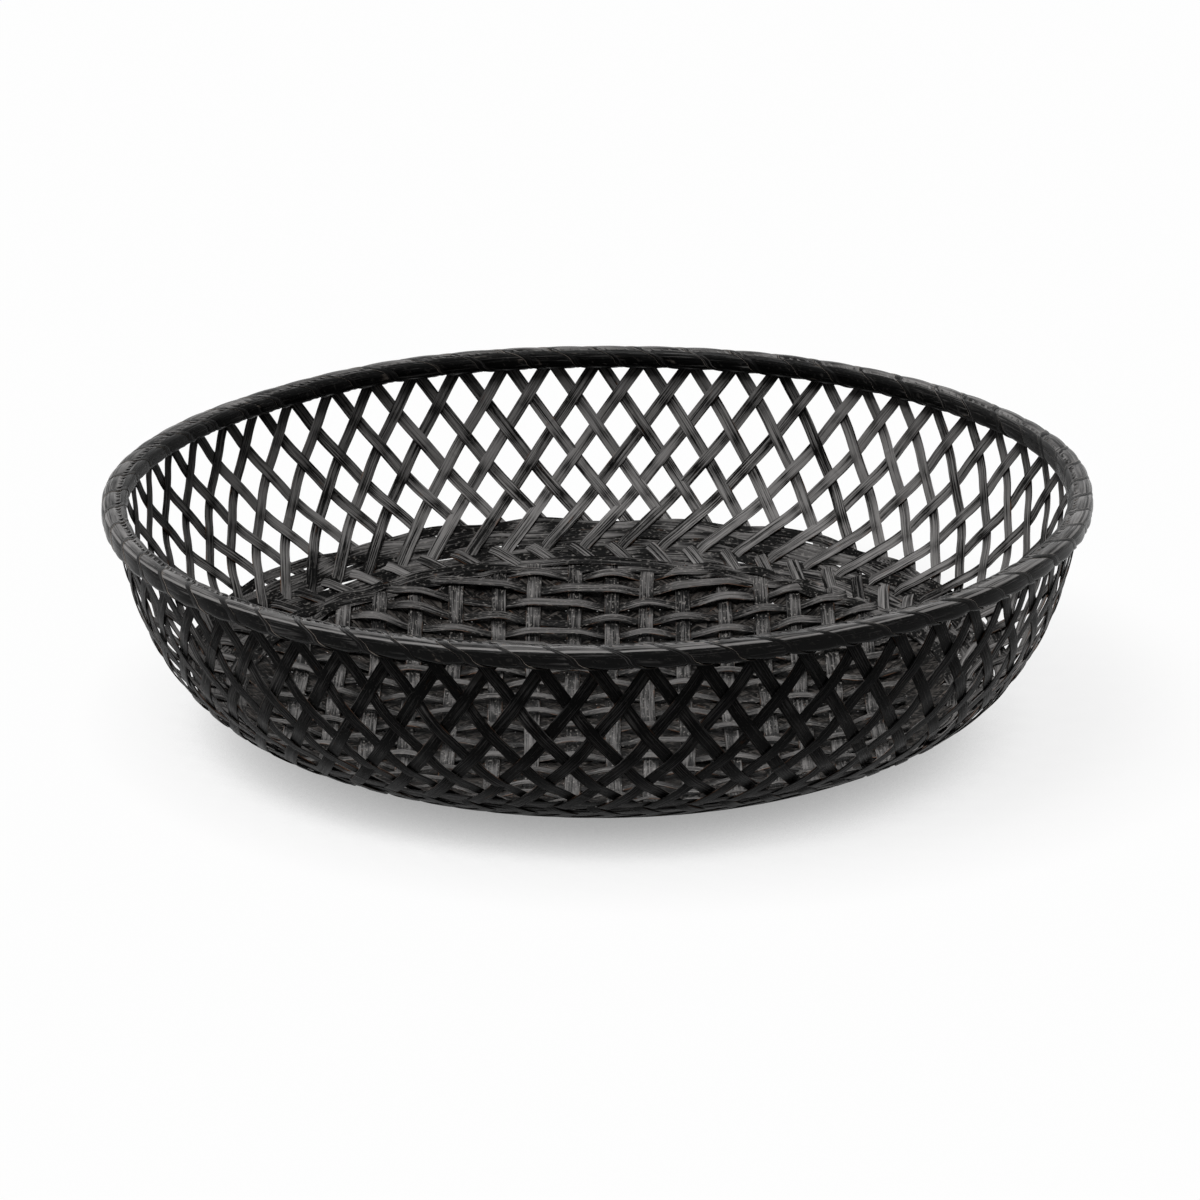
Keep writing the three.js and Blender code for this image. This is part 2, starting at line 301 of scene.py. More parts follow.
# skin-side cane on the rim: smoother, glossier and polished by hands
rimStain = {
    **stain, "dark": "#060606", "light": "#807e7d", "levelLow": 1.92, "levelHigh": 2.64,
    "roughness": 0.26, "gloss": 0.08, "fleck": 0.08, "bare": "#8f867e", "wear": 0.8,
}
# painted light on the rim facing: a lighter band on top and a painted highlight along the outer top edge
facingFinish = bambooMaterial("dyedBambooRimFacing", {
    **rimStain, "width": 31, "fibre": 0.6, "band": 1.8,
    "paintedLightBands": [(0.02, 0.28, 0.5), (0.23, 0.075, 1.2)],    # place, half width and strength of each band of painted light: the lit top, then the highlight on the outer top edge
})
# narrow turns, pale along their edges where hands rub them
windingFinish = bambooMaterial("dyedBambooWinding", {**rimStain, "width": 5.6, "edge": 0.34})
# fine split ends that took less dye
stitchFinish = bambooMaterial("dyedBambooStitch", {
    **rimStain, "width": 2, "levelLow": 1.4, "levelHigh": 2.2,
})
print("materials made")


def newTree(name, sizes):
    # a tree with named inputs; sizes holds (name, socket type, default)
    tree = bpy.data.node_groups.new(name, "GeometryNodeTree")
    tree.interface.new_socket("Geometry", in_out="OUTPUT", socket_type="NodeSocketGeometry")
    tree.interface.new_socket("Geometry", in_out="INPUT", socket_type="NodeSocketGeometry")
    for label, kind, value in sizes:
        socket = tree.interface.new_socket(label, in_out="INPUT", socket_type=kind)
        if value is not None:
            socket.default_value = value
    return tree


driftTop = 86    # mm, height from which the drift of the lattice grows downwards

bends = {
    "toneShift": 9.0,        # m of noise between two strips' bends
    "footPerMetre": 9.0,     # how fast the warp's lift grows with height, so the foot stays flat
    "creaseAngle": 28,       # degrees, edges sharper than this stay crisp
}

copySizes = [
    ("Copies", "NodeSocketInt", 1),
    ("Turn Jitter", "NodeSocketFloat", 0.0),
    ("Wander", "NodeSocketFloat", 0.0),
    ("Wander Length", "NodeSocketFloat", 0.08),
    ("Round", "NodeSocketFloat", 1.0),
    ("Side", "NodeSocketVector", (0, 0, 0)),
    ("Drift", "NodeSocketFloat", 0.0),
    ("Drift Growth", "NodeSocketFloat", 0.0),
    ("Slope", "NodeSocketVector", (0, 0, 0)),
    ("Warp", "NodeSocketFloat", 0.0),
    ("Warp Length", "NodeSocketFloat", 0.1),
    ("Seed", "NodeSocketInt", 1),
    ("Material", "NodeSocketMaterial", None),
]


def readValue(tree, name, kind="FLOAT"):
    return addNode(tree, "GeometryNodeInputNamedAttribute", {"Name": name}, data_type=kind)


def storeValue(tree, shape, name, value, kind="FLOAT", domain="POINT"):
    inputs = {"Geometry": shape, "Name": name, "Value": value}
    return addNode(tree, "GeometryNodeStoreNamedAttribute", inputs, data_type=kind, domain=domain)


def addCopies(tree, sizes, shape):
    # copies of a shape turned round the Z axis, each with its own tone and its own slight bends
    points = addNode(tree, "GeometryNodePoints", {"Count": sizes["Copies"]})
    index = addNode(tree, "GeometryNodeInputIndex")
    step = addNode(tree, "ShaderNodeMath", [2 * math.pi, sizes["Copies"]], operation="DIVIDE")
    back = addNode(tree, "ShaderNodeMath", [sizes["Turn Jitter"], -1], operation="MULTIPLY")
    # inputs 2 and 3 of a random float are its lowest and highest value
    slip = addNode(tree, "FunctionNodeRandomValue", {
        2: back, 3: sizes["Turn Jitter"], "Seed": sizes["Seed"],
    }, data_type="FLOAT")
    angle = addNode(tree, "ShaderNodeMath", [index, step, slip.outputs[1]], operation="MULTIPLY_ADD")
    turned = addNode(tree, "ShaderNodeCombineXYZ", {"Z": angle})
    copies = addNode(tree, "GeometryNodeInstanceOnPoints", {
        "Points": points, "Instance": shape, "Rotation": turned,
    })
    numbered = storeValue(tree, copies, "copy", index, "INT", "INSTANCE")
    real = addNode(tree, "GeometryNodeRealizeInstances", [numbered])

    copy = readValue(tree, "copy", "INT")
    strand = readValue(tree, "strand", "INT")
    # 53 is more than the strands in one mesh, so no two strips share a number
    own = addNode(tree, "ShaderNodeMath", [copy, 53, strand], operation="MULTIPLY_ADD")
    tone = addNode(tree, "FunctionNodeRandomValue", {
        2: 0.0, 3: 1.0, "ID": own, "Seed": sizes["Seed"],
    }, data_type="FLOAT").outputs[1]
    across = readValue(tree, "across")
    along = readValue(tree, "along")
    grain = addNode(tree, "ShaderNodeCombineXYZ", [across, along, tone])
    grained = storeValue(tree, real, "grain", grain, "FLOAT_VECTOR")

    position = addNode(tree, "GeometryNodeInputPosition")
    flat = addNode(tree, "ShaderNodeVectorMath", [position, (1, 1, 0)], operation="MULTIPLY")
    radius = addNode(tree, "ShaderNodeVectorMath", [flat], operation="LENGTH").outputs["Value"]
    tangent = addNode(tree, "ShaderNodeVectorMath", [(0, 0, 1), flat], operation="CROSS_PRODUCT")
    unit = addNode(tree, "ShaderNodeVectorMath", [tangent], operation="NORMALIZE")

    # each strip bends sideways in its own way
    shift = addNode(tree, "ShaderNodeMath", [tone, bends["toneShift"]], operation="MULTIPLY")
    place = addNode(tree, "ShaderNodeVectorMath", [position, shift], operation="ADD")
    perMetre = addNode(tree, "ShaderNodeMath", [1.0, sizes["Wander Length"]], operation="DIVIDE")
    bend = addNode(tree, "ShaderNodeTexNoise", {"Vector": place, "Scale": perMetre, "Detail": 1.0})
    bend = addNode(tree, "ShaderNodeMath", [bend, 0.5], operation="SUBTRACT")
    bend = addNode(tree, "ShaderNodeMath", [bend, sizes["Wander"]], operation="MULTIPLY")
    roundWay = addNode(tree, "ShaderNodeVectorMath", {0: unit, "Scale": sizes["Round"]}, operation="SCALE")
    sideWay = addNode(tree, "ShaderNodeVectorMath", [roundWay, sizes["Side"]], operation="ADD")
    moved = addNode(tree, "ShaderNodeVectorMath", {0: sideWay, "Scale": bend}, operation="SCALE")

    # the two lattice layers lie a little askew, so rows stand higher at the back than in front
    spots = addNode(tree, "ShaderNodeSeparateXYZ", [position]).outputs
    backness = addNode(tree, "ShaderNodeMath", [spots[1], radius], operation="DIVIDE")
    below = addNode(tree, "ShaderNodeMath", [driftTop * mm, spots[2]], operation="SUBTRACT")
    growth = addNode(tree, "ShaderNodeMath", [below, sizes["Drift Growth"], 1.0], operation="MULTIPLY_ADD")
    askew = addNode(tree, "ShaderNodeMath", [backness, sizes["Drift"]], operation="MULTIPLY")
    askew = addNode(tree, "ShaderNodeMath", [askew, growth], operation="MULTIPLY")
    drifted = addNode(tree, "ShaderNodeVectorMath", {0: tangent, "Scale": askew}, operation="SCALE")

    # the whole basket is a little out of true, the same for every piece
    perWarp = addNode(tree, "ShaderNodeMath", [1.0, sizes["Warp Length"]], operation="DIVIDE")
    warp = addNode(tree, "ShaderNodeTexNoise", {"Vector": position, "Scale": perWarp, "Detail": 0.0})
    warp = addNode(tree, "ShaderNodeVectorMath", [
        warp.outputs["Color"], (0.5, 0.5, 0.5),
    ], operation="SUBTRACT")
    warp = addNode(tree, "ShaderNodeVectorMath", {0: warp, "Scale": sizes["Warp"]}, operation="SCALE")
    flatFoot = addNode(tree, "ShaderNodeMath", [spots[2], bends["footPerMetre"]], operation="MULTIPLY")
    flatFoot = addNode(tree, "ShaderNodeCombineXYZ", [1.0, 1.0, flatFoot])
    warp = addNode(tree, "ShaderNodeVectorMath", [warp, flatFoot], operation="MULTIPLY")

    # and its rim stands a little higher on one side
    rise = addNode(tree, "ShaderNodeVectorMath", [position, sizes["Slope"]], operation="DOT_PRODUCT")
    rise = addNode(tree, "ShaderNodeMath", [rise.outputs["Value"], spots[2]], operation="MULTIPLY")
    risen = addNode(tree, "ShaderNodeCombineXYZ", {"Z": rise})

    total = addNode(tree, "ShaderNodeVectorMath", [moved, drifted], operation="ADD")
    total = addNode(tree, "ShaderNodeVectorMath", [total, risen], operation="ADD")
    total = addNode(tree, "ShaderNodeVectorMath", [total, warp], operation="ADD")
    placed = addNode(tree, "GeometryNodeSetPosition", {"Geometry": grained, "Offset": total})
    angleHere = addNode(tree, "GeometryNodeInputMeshEdgeAngle")
    sharp = addNode(tree, "FunctionNodeCompare", [
        angleHere, math.radians(bends["creaseAngle"]),
    ], data_type="FLOAT", operation="GREATER_THAN")
    smooth = addNode(tree, "GeometryNodeSetShadeSmooth", {
        "Geometry": placed, "Shade Smooth": True,
    }, domain="FACE")
    creased = addNode(tree, "GeometryNodeSetShadeSmooth", {
        "Geometry": smooth, "Selection": sharp, "Shade Smooth": False,
    }, domain="EDGE")
    finished = addNode(tree, "GeometryNodeSetMaterial", {"Geometry": creased, "Material": sizes["Material"]})
    addNode(tree, "NodeGroupOutput", [finished])


def buildStripTree():
    # strips swept along guide lines, with a softly rounded flat section
    tree = newTree("bambooStrips", [
        ("Width", "NodeSocketFloat", 0.0065),
        ("Thickness", "NodeSocketFloat", 0.0007),
        ("Section Points", "NodeSocketInt", 12),
        ("Squareness", "NodeSocketFloat", 0.4),
    ] + copySizes)
    sizes = addNode(tree, "NodeGroupInput").outputs
    circle = addNode(tree, "GeometryNodeCurvePrimitiveCircle", {
        "Resolution": sizes["Section Points"], "Radius": 1.0,
    }, mode="RADIUS")
    position = addNode(tree, "GeometryNodeInputPosition")
    parts = addNode(tree, "ShaderNodeSeparateXYZ", [position])
    flattened = []
    for axis in (0, 1):
        size = addNode(tree, "ShaderNodeMath", [parts.outputs[axis]], operation="ABSOLUTE")
        size = addNode(tree, "ShaderNodeMath", [size, sizes["Squareness"]], operation="POWER")
        sign = addNode(tree, "ShaderNodeMath", [parts.outputs[axis]], operation="SIGN")
        flattened.append(addNode(tree, "ShaderNodeMath", [size, sign], operation="MULTIPLY"))
    halfThick = addNode(tree, "ShaderNodeMath", [sizes["Thickness"], 0.5], operation="MULTIPLY")
    halfWide = addNode(tree, "ShaderNodeMath", [sizes["Width"], 0.5], operation="MULTIPLY")
    sectionX = addNode(tree, "ShaderNodeMath", [flattened[0], halfThick], operation="MULTIPLY")
    sectionY = addNode(tree, "ShaderNodeMath", [flattened[1], halfWide], operation="MULTIPLY")
    marked = storeValue(tree, circle, "across", flattened[1])
    marked = storeValue(tree, marked, "side", flattened[0])
    section = addNode(tree, "ShaderNodeCombineXYZ", [sectionX, sectionY])
    profile = addNode(tree, "GeometryNodeSetPosition", {"Geometry": marked, "Position": section})
    line = addNode(tree, "GeometryNodeMeshToCurve", {"Mesh": sizes["Geometry"]})
    faceOut = readValue(tree, "faceOut", "FLOAT_VECTOR")
    line = addNode(tree, "GeometryNodeSetCurveNormal", {"Curve": line, "Normal": faceOut}, mode="FREE")
    run = addNode(tree, "GeometryNodeSplineParameter")
    line = storeValue(tree, line, "along", run.outputs["Length"])
    strip = addNode(tree, "GeometryNodeCurveToMesh", {
        "Curve": line, "Profile Curve": profile, "Fill Caps": True,
    })
    addCopies(tree, sizes, strip)
    return tree


def buildTurnTree():
    # turns of the rim winding, each a ready sheet
    tree = newTree("rimTurns", copySizes)
    sizes = addNode(tree, "NodeGroupInput").outputs
    addCopies(tree, sizes, sizes["Geometry"])
    return tree


stripTree = buildStripTree()
turnTree = buildTurnTree()

# how the whole basket is out of true, so every piece gets the same
handMade = {"Warp": 2.4 * mm, "Warp Length": 0.11, "Slope": (0.099, 0.078, 0.0)}


def growPiece(name, mesh, tree, sizes):
    # runs a tree on a mesh and keeps the plain result
    piece = bpy.data.objects.new(name, mesh)
    bpy.context.scene.collection.objects.link(piece)
    modifier = piece.modifiers.new("grow", "NODES")
    modifier.node_group = tree
    sockets = {
        item.name: item.identifier for item in tree.interface.items_tree
        if item.item_type == "SOCKET" and item.in_out == "INPUT"
    }
    for label, value in {**handMade, **sizes}.items():
        modifier[sockets[label]] = value
    ready = piece.evaluated_get(bpy.context.evaluated_depsgraph_get())
    plain = bpy.data.meshes.new_from_object(ready)
    piece.modifiers.clear()
    piece.data = plain
    plain.name = name
    print(f"{name}: {len(plain.polygons)} faces")
    return piece


def guideMesh(name, strands):
    # open lines in mm, each point with the way its strip faces and how much painted shade it takes there
    points, edges, facing, numbers, paintedShades = [], [], [], [], []
    for number, strand in enumerate(strands):
        start = len(points)
        for point, normal, *paintedShade in strand:
            points.append(point * mm)
            paintedShades.append(paintedShade[0] if paintedShade else 0)
            facing.append(normal.normalized())
            numbers.append(number)
        edges += [(i, i + 1) for i in range(start, len(points) - 1)]
    mesh = bpy.data.meshes.new(name)
    mesh.from_pydata(points, edges, [])
    faceOut = mesh.attributes.new("faceOut", "FLOAT_VECTOR", "POINT")
    faceOut.data.foreach_set("vector", [c for v in facing for c in v])
    strandNumber = mesh.attributes.new("strand", "INT", "POINT")
    strandNumber.data.foreach_set("value", numbers)
    mesh.attributes.new("paintedShade", "FLOAT", "POINT").data.foreach_set("value", paintedShades)
    return mesh


wall = {
    "width": 6.0,
    "thickness": 0.7,
    "topDepth": 1.5,         # below the bowl's top edge, mm along the wall
    "endRadius": 150,        # where a strip ends under the base
    "stations": 84,
    "reach": 0.47,           # half the step between the two layers
    "bandReach": 0.9,        # the same where the ring strips lie between them
    "drift": 0.0115,         # rad
    "driftGrowth": 14,       # per metre downwards
    "jitter": 0.0045,        # rad
    "wander": 2.2,
    # side of the clockwise strips at each row, 1 is outside
    "sides": [1, -1, 1, -1, 1, -1, -1, 1, -1, -1, -1, -1, -1],
    "earlyRow": 6,           # after this row the layers change sides sooner
    "snap": 1.5,             # how quickly a strip changes sides between two rows
    "bandRows": (4.4, 5.2, 7.4, 8),      # rows between which the ring strips fade in and out
    "openRows": (4.6, 5.4),  # rows over which the painted shade at the crossings of the open lattice fades out
    "tightRows": (4.6, 5.6),     # rows over which the shade of the tight weave fades in
    "tightDusk": 0.8,
}


def weaveReach(rowAt):
    # how far out of the bowl's surface a strip lies, by the rows it has crossed
    row = int(math.floor(max(rowAt, 0)))
    share = max(rowAt, 0) - row
    sides = wall["sides"]
    a, b = sides[min(row, len(sides) - 1)], sides[min(row + 1, len(sides) - 1)]
    turned = 0.5 - 0.5 * math.tanh(wall["snap"] * math.cos(math.pi * share)) / math.tanh(wall["snap"])
    if row == wall["earlyRow"]:
        turned = smoothStep(share, 0.0, 0.5)
    rows = wall["bandRows"]
    band = smoothStep(rowAt, *rows[:2]) - smoothStep(rowAt, *rows[2:])
    return mixed(a, b, turned) * mixed(wall["reach"], wall["bandReach"], band)


def wallStrand(hand):
    # one strip from between the hoops down to its end under the base
    endDepth = next(s[0] for s in bowlSamples if s[2] <= wall["endRadius"])
    strand = []
    for i in range(wall["stations"]):
        depth = mixed(wall["topDepth"], endDepth, i / (wall["stations"] - 1))
        sample = bowlAt(0, depth)
        turned = sample[1] - crossingStart
        row = turned / (pitchAngle / 2)
        # painted shade: darkest at each crossing of the open lattice, then even over the tight weave
        paintedShade = (0.5 + 0.5 * math.cos(2 * math.pi * row)) ** 3 * (1 - smoothStep(row, *wall["openRows"]))
        paintedShade = max(paintedShade, wall["tightDusk"] * smoothStep(row, *wall["tightRows"]))
        strand.append((*onBowl(sample, hand * turned, hand * weaveReach(row)), paintedShade))
    return strand


wallNodes = [n for n in cadNodes if n.startswith("wall_strips")]
wallPieces = []
for name, hand in (("wallStripsClockwise", 1), ("wallStripsCounter", -1)):
    guide = guideMesh(name, [wallStrand(hand)])
    wallPieces.append(growPiece(name, guide, stripTree, {
        "Width": wall["width"] * mm, "Thickness": wall["thickness"] * mm,
        "Copies": bowl["stripsEachWay"], "Turn Jitter": wall["jitter"],
        "Wander": wall["wander"] * mm, "Wander Length": 0.075,
        "Drift": wall["drift"] * hand, "Drift Growth": wall["driftGrowth"],
        "Seed": 11 + hand, "Material": wallFinish,
    }))

# ring strips laid round between the two layers, by row of the lattice; the last ones close the base
rings = {
    "rows": [5.45, 5.75, 6.05, 6.36, 6.68, 7.0, 7.3, 7.62, 7.85, 7.95, 8.3, 8.55, 9.0, 9.5],
    "reaches": [0.42, 0.0, -0.42, 0.15, 0.5, 0.1, -0.1, 0.1, -1.7, 0.1, -2.1, 0.1, -0.1, 0.0],
    "waves": [0.12, 0.22, 0.2, 0.2, 0.1, 0.1, 0.1, 0, 0.9, 0, 0.8, 0, 0, 0],
    "width": 5.1, "thickness": 0.3, "stations": 501,
    "start": (0.7, 1.9),     # rad, first strip and step to the next
    "lap": 1.02,             # turns
    "sway": 0.34,            # rows
    "swayWaves": 5.5,
    "swayShift": 3.1,        # tells one strip's sway from the next one's
    "waveCount": 19,         # round the basket, and 3 more for each of the next strips
    "waveSlip": 5,
}


def ringStrand(number):
    # one strip laid round the bowl, lapping its own start
    start = rings["start"][0] + rings["start"][1] * number
    waves = rings["waveCount"] + 3 * (number % 4)
    size = rings["swayWaves"]
    strand = []
    for i in range(rings["stations"]):
        angle = start + 2 * math.pi * rings["lap"] * i / (rings["stations"] - 1)
        swayAt = Vector((math.cos(angle) * size, math.sin(angle) * size, rings["swayShift"] * number))
        swing = noise.noise(swayAt)
        weave = math.sin(angle * waves + rings["waveSlip"] * swing)
        row = rings["rows"][number] + rings["sway"] * swing
        plain = bowlAt(1, crossingStart + row * pitchAngle / 2)
        growth = 1 + (driftTop - plain[3]) * mm * wall["driftGrowth"]
        sample = bowlAt(1, plain[1] - wall["drift"] * growth * math.sin(angle))
        reach = rings["reaches"][number] + rings["waves"][number] * weave
        # painted shade along the ring strip, deepest where its weave takes it furthest in
        strand.append((*onBowl(sample, angle, reach), 0.5 - 0.5 * weave))
    return strand


ringGuide = guideMesh("wallRingStrips", [ringStrand(i) for i in range(len(rings["rows"]))])
ringPiece = growPiece("wallRingStrips", ringGuide, stripTree, {
    "Width": rings["width"] * mm, "Thickness": rings["thickness"] * mm, "Section Points": 8,
    "Material": ringFinish, "Seed": 5,
})
print("wall made")


base = {
    "radius": 170,
    "straightWidth": 6.9,
    "crossWidth": 6.2,
    "thickness": 0.7,
    # straight strips from left to right, mm
    "straights": [-138, -121, -104, -87, -67.5, -47, -30, -11, 7, 23.5, 41, 61.5, 79, 94.5, 110, 127],
    # cross strips from front to back, closer together where the base turns up
    "crosses": [
        -162, -149, -134, -118, -101, -82, -62, -42, -22, -2,
        17.5, 36.5, 54.5, 72, 89, 105.4, 120.7, 134.8, 147.5, 160.5,
    ],
    "lift": 2.75,
    "edgeLift": 1.5,
    "edge": (70, 150),       # radii over which the middle turns into the edge
    "tuck": 2.9,             # how far the ends of the base strips drop at the edge
    "tuckEdge": (152, 169),
    "arch": 1.85,
    "dip": 0.95,
    "edgeDip": 1.55,
    "unevenness": (0.86, 1.12),
    "end": 14,               # how far a cross strip runs past its last straight one
    "endShare": 0.3,         # of the last arch or dip that is left at the end
    "sag": 0.28,             # how far a straight strip gives way at a crossing
    "margin": 3,             # a crossing nearer than this to the edge is left out
    "crossStep": 1.6,
    "straightStep": 3,
    "crossShade": (-1, 1.5),     # heights over which a cross strip comes out of the shade
    "straightShade": -0.1,
    "leastShade": 0.2,
    # rows that were not woven one over one: the straight strips they pass over, by number
    "odd": {
        4: [1, 3, 4, 6, 9, 11, 13],
        7: [0, 2, 4, 7, 9, 10, 12, 14],
        10: [1, 3, 5, 6, 8, 10, 13, 15],
        14: [2, 5, 6, 9, 11, 13],
        15: [2, 4, 6, 7, 9, 11, 13, 15],
        16: [1, 3, 5, 8, 10, 12, 14],
        17: [3, 6, 7, 9, 11, 13],
        18: [2, 4, 5, 7, 8, 10, 11, 13],
    },
}
baseRandom = random.Random(7)


def baseMiddle(radius):
    lift = base["lift"] + base["edgeLift"] * smoothStep(radius, *base["edge"])
    return bowlHeight(radius) + lift - base["tuck"] * smoothStep(radius, *base["tuckEdge"])


def onBase(x, y, reach, middle=baseMiddle):
    radius = max(math.hypot(x, y), 1e-6)
    slope = middle(radius + 0.5) - middle(max(radius - 0.5, 0))
    normal = Vector((-slope * x / radius, -slope * y / radius, 1)).normalized()
    return Vector((x, y, middle(radius))) + normal * reach, normal


def isOver(row, column):
    if row in base["odd"]:
        return column in base["odd"][row]
    return (row + column) % 2 == 1


def crossReach(row, column, x, y):
    radius = math.hypot(x, y)
    if isOver(row, column):
        return base["arch"]
    return -mixed(base["dip"], base["edgeDip"], smoothStep(radius, *base["edge"]))


def crossStrand(row):
    # arches over some straight strips and dips under the rest
    y = base["crosses"][row]
    reach = math.sqrt(base["radius"] ** 2 - y * y)
    inside = [(c, x) for c, x in enumerate(base["straights"]) if abs(x) < reach - base["margin"]]
    knots = [(x, crossReach(row, c, x, y) * baseRandom.uniform(*base["unevenness"])) for c, x in inside]
    first, last = knots[0], knots[-1]
    left = -min(reach, -first[0] + base["end"])
    right = min(reach, last[0] + base["end"])
    share = base["endShare"]
    knots = [(left, first[1] * share)] + knots + [(right, last[1] * share)]
    strand = []
    for (x0, r0), (x1, r1) in zip(knots, knots[1:]):
        steps = max(2, int((x1 - x0) / base["crossStep"]))
        for i in range(steps):
            t = i / steps
            rise = mixed(r0, r1, 0.5 - 0.5 * math.cos(math.pi * t))
            # painted shade where the cross strip dips under a straight strip
            paintedShade = 1 - smoothStep(rise, *base["crossShade"])
            strand.append((*onBase(mixed(x0, x1, t), y, rise), paintedShade))
    strand.append((*onBase(right, y, knots[-1][1]), 1))
    return strand


def straightStrand(column):
    # nearly flat, pressed down a little where a cross strip passes over
    x = base["straights"][column]
    reach = math.sqrt(base["radius"] ** 2 - x * x)
    inside = [(r, y) for r, y in enumerate(base["crosses"]) if abs(y) < reach - base["margin"]]
    sag = base["sag"]
    knots = [(y, -sag if isOver(r, column) else sag) for r, y in inside]
    knots = [(-reach, 0)] + knots + [(reach, 0)]
    strand = []
    for (y0, r0), (y1, r1) in zip(knots, knots[1:]):
        steps = max(2, int((y1 - y0) / base["straightStep"]))
        for i in range(steps):
            t = i / steps
            rise = mixed(r0, r1, 0.5 - 0.5 * math.cos(math.pi * t))
            # painted shade where a cross strip passes over the straight strip
            paintedShade = mixed(1, base["leastShade"], smoothStep(rise, base["straightShade"], sag))
            strand.append((*onBase(x, mixed(y0, y1, t), rise), paintedShade))
    strand.append(onBase(x, reach, 0))
    return strand


baseSizes = {
    "Thickness": base["thickness"] * mm, "Round": 0.0, "Wander": 3.2 * mm, "Wander Length": 0.07,
    "Material": matFinish,
}
crossGuide = guideMesh("baseCrossStrips", [crossStrand(i) for i in range(len(base["crosses"]))])
crossPiece = growPiece("baseCrossStrips", crossGuide, stripTree, {
    **baseSizes, "Width": base["crossWidth"] * mm, "Side": (0, 1, 0), "Seed": 21,
})
straightGuide = guideMesh("baseStraightStrips", [straightStrand(i) for i in range(len(base["straights"]))])
straightPiece = growPiece("baseStraightStrips", straightGuide, stripTree, {
    **baseSizes, "Width": base["straightWidth"] * mm, "Side": (1, 0, 0), "Seed": 22,
})

# the layer beneath, woven from the ends of the wall strips, seen through the base
under = {
    "radius": 161, "pitch": 10.6, "width": 10.3, "thickness": 0.62,
    "reach": 0.37,           # how far each strip swings up and down as it weaves
    "lift": 0.75, "edgeLift": 0.85, "edge": (95, 140),
    "margin": 12,            # no strip starts nearer than this to the layer's edge
    "step": 2.2,
}


def underMiddle(radius):
    return bowlHeight(radius) + under["lift"] + under["edgeLift"] * smoothStep(radius, *under["edge"])


def underStrands(hand):
    # one direction of the diagonal plain weave
    strands = []
    count = int(under["radius"] / under["pitch"])
    turn = hand * math.pi / 4
    for i in range(-count, count + 1):
        offset = (i + 0.5) * under["pitch"]
        if abs(offset) > under["radius"] - under["margin"]:
            continue
        reach = math.sqrt(under["radius"] ** 2 - offset ** 2)
        steps = int(2 * reach / under["step"])
        strand = []
        for k in range(steps + 1):
            s = mixed(-reach, reach, k / steps)
            x = s * math.cos(turn) - offset * math.sin(turn)
            y = s * math.sin(turn) + offset * math.cos(turn)
            wave = math.sin(math.pi * s / under["pitch"]) * (1 if i % 2 else -1) * hand
            strand.append(onBase(x, y, wave * under["reach"], underMiddle))
        strands.append(strand)
    return strands


underPieces = []
for name, hand in (("underStripsLeft", 1), ("underStripsRight", -1)):
    underPieces.append(growPiece(name, guideMesh(name, underStrands(hand)), stripTree, {
        "Width": under["width"] * mm, "Thickness": under["thickness"] * mm, "Section Points": 8,
        "Round": 0.0, "Side": (-hand * 0.7, 0.7, 0), "Wander": 0.5 * mm, "Wander Length": 0.09,
        "Seed": 31 + hand, "Material": underFinish,
    }))
print("base made")


rim = {
    "middle": (219.4, 107.1),   # radius and height of the middle of the rim's section
    "half": (4.7, 3.9),
    "power": 3.3,               # 2 is round, more is squarer
    "hoopGap": 1.9,
    "hoopHalf": 1.5,
    "turns": 60,
    "sheet": 0.32,
    "broad": 25.5,
    "narrow": 5.6,
    "throat": 9.5,              # width of the facing where it is gathered below the hoops
    "gather": (0.03, 0.2),      # parts of a turn over which it spreads from there
    "girth": 28,
    "starts": 2,                # strands wound side by side, so each leans over two steps
    "groove": (-2.0, 0.75, 1.1),    # place, half width and depth of the dip on top
    "scallop": (0.88, 0.07),    # part of a turn where the facing's corners are drawn in, and half its width
}


def sectionPoint(around, grow, dip):
    # around is 0 at the underside, a quarter at the inner face, a half on top
    angle = -math.pi / 2 - 2 * math.pi * around
    c, s = math.cos(angle), math.sin(angle)
    power = 2 / rim["power"]
    x = math.copysign(abs(c) ** power, c) * (rim["half"][0] + grow)
    z = math.copysign(abs(s) ** power, s) * (rim["half"][1] + grow)
    place, half, depth = rim["groove"]
    if s > 0:
        z -= dip * depth * math.exp(-((x - place) / half) ** 2)
    return rim["middle"][0] + x, rim["middle"][1] + z


